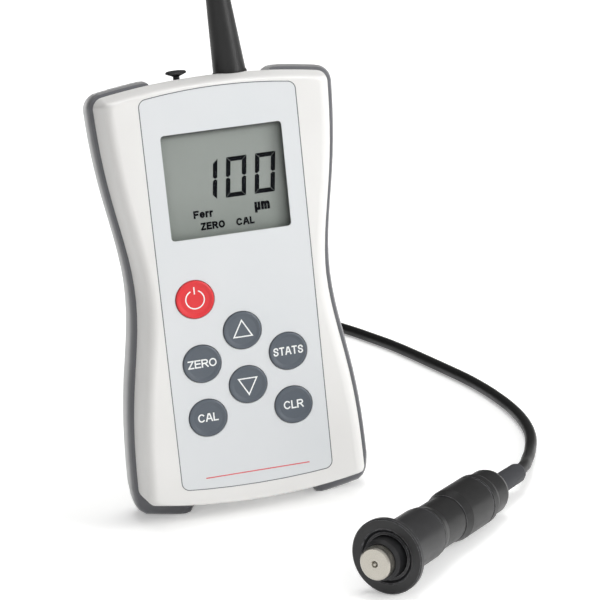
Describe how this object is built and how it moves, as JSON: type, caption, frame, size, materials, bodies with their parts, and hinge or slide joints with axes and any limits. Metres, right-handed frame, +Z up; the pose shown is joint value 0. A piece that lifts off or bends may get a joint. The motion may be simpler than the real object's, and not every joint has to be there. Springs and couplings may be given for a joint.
{
  "type": "coating thickness gauge",
  "caption": "Handheld coating thickness gauge: waisted white housing with soft side grips, display and membrane keys, and a cylindrical sprung contact probe on a cable.",
  "frame": {"origin": "on the surface the gauge stands on, under the middle of the box round the gauge and the probe, without the free cable", "axes": "+Z up along the gauge's height, -Y the way the gauge's display and keys face, +X to the right as seen by someone who reads the display"},
  "size_m": [0.1194, 0.261, 0.1888],
  "materials": {
    "shell_white": "fine satin moulding",
    "grip_grey": "soft matte",
    "overlay_film": "satin film",
    "window_clear": "clear",
    "key_red": "satin film",
    "key_grey": "satin film",
    "lcd_cell": "satin",
    "black_plastic": "moulded",
    "strip_grey": "soft",
    "board_green": "lacquered",
    "steel": "bright",
    "battery_case": "satin",
    "boot_black": "soft matte",
    "probe_black": "black anodised",
    "probe_plastic": "fine turned",
    "boot_grey": "soft matte",
    "nickel": "polished",
    "copper": "enamelled winding",
    "cable_black": "smooth jacket"
  },
  "bodies": {
    "gauge": {"front_shell": "shell_white", "rear_shell": "shell_white", "grip_left": "grip_grey", "grip_right": "grip_grey", "keypad_overlay": "overlay_film", "display_window": "window_clear", "lcd_panel": "lcd_cell", "lcd_frame": "black_plastic", "contact_strips": "strip_grey", "main_board": "board_green", "key_domes": "steel", "board_chips": "black_plastic", "battery_block": "battery_case", "battery_clip": "black_plastic", "case_screws": "steel", "data_socket": "black_plastic", "cable_boot": "boot_black", "probe_sleeve": "probe_black", "probe_body": "probe_black", "probe_collar": "probe_black", "probe_cap": "probe_black", "probe_boot": "boot_grey", "probe_spring": "steel", "cable_upper": "cable_black", "cable_coil": "cable_black", "coil_tie": "black_plastic", "cable_lower": "cable_black"},
    "key_power": {"key_power": "key_red"},
    "key_up": {"key_up": "key_grey"},
    "key_down": {"key_down": "key_grey"},
    "key_zero": {"key_zero": "key_grey"},
    "key_stats": {"key_stats": "key_grey"},
    "key_cal": {"key_cal": "key_grey"},
    "key_clear": {"key_clear": "key_grey"},
    "battery_door": {"battery_door": "shell_white"},
    "dust_plug": {"dust_plug": "boot_black"},
    "probe_head": {"probe_head": "probe_plastic", "pole_face": "nickel", "contact_tip": "nickel", "sensor_coil": "copper"}
  },
  "joints": [
    {"name": "key_power_press", "type": "slide", "parent": "gauge", "child": "key_power", "axis": [0, 1, 0], "range_m": [0, 0.0004], "stiffness_N_per_m": 2000},
    {"name": "key_up_press", "type": "slide", "parent": "gauge", "child": "key_up", "axis": [0, 1, 0], "range_m": [0, 0.0004], "stiffness_N_per_m": 2000},
    {"name": "key_down_press", "type": "slide", "parent": "gauge", "child": "key_down", "axis": [0, 1, 0], "range_m": [0, 0.0004], "stiffness_N_per_m": 2000},
    {"name": "key_zero_press", "type": "slide", "parent": "gauge", "child": "key_zero", "axis": [0, 1, 0], "range_m": [0, 0.0004], "stiffness_N_per_m": 2000},
    {"name": "key_stats_press", "type": "slide", "parent": "gauge", "child": "key_stats", "axis": [0, 1, 0], "range_m": [0, 0.0004], "stiffness_N_per_m": 2000},
    {"name": "key_cal_press", "type": "slide", "parent": "gauge", "child": "key_cal", "axis": [0, 1, 0], "range_m": [0, 0.0004], "stiffness_N_per_m": 2000},
    {"name": "key_clear_press", "type": "slide", "parent": "gauge", "child": "key_clear", "axis": [0, 1, 0], "range_m": [0, 0.0004], "stiffness_N_per_m": 2000},
    {"name": "battery_door_swing", "type": "hinge", "parent": "gauge", "child": "battery_door", "pos_m": [-0.0182, 0.0498, 0.0115], "axis": [-1, 0, 0], "range_deg": [0, 45]},
    {"name": "dust_plug_pull", "type": "slide", "parent": "gauge", "child": "dust_plug", "axis": [0, 0, 1], "range_m": [0, 0.011]},
    {"name": "probe_head_press", "type": "slide", "parent": "gauge", "child": "probe_head", "axis": [0.6681, 0.742, -0.0563], "range_m": [0, 0.004], "stiffness_N_per_m": 500, "deforming": ["probe_spring"]}
  ]
}
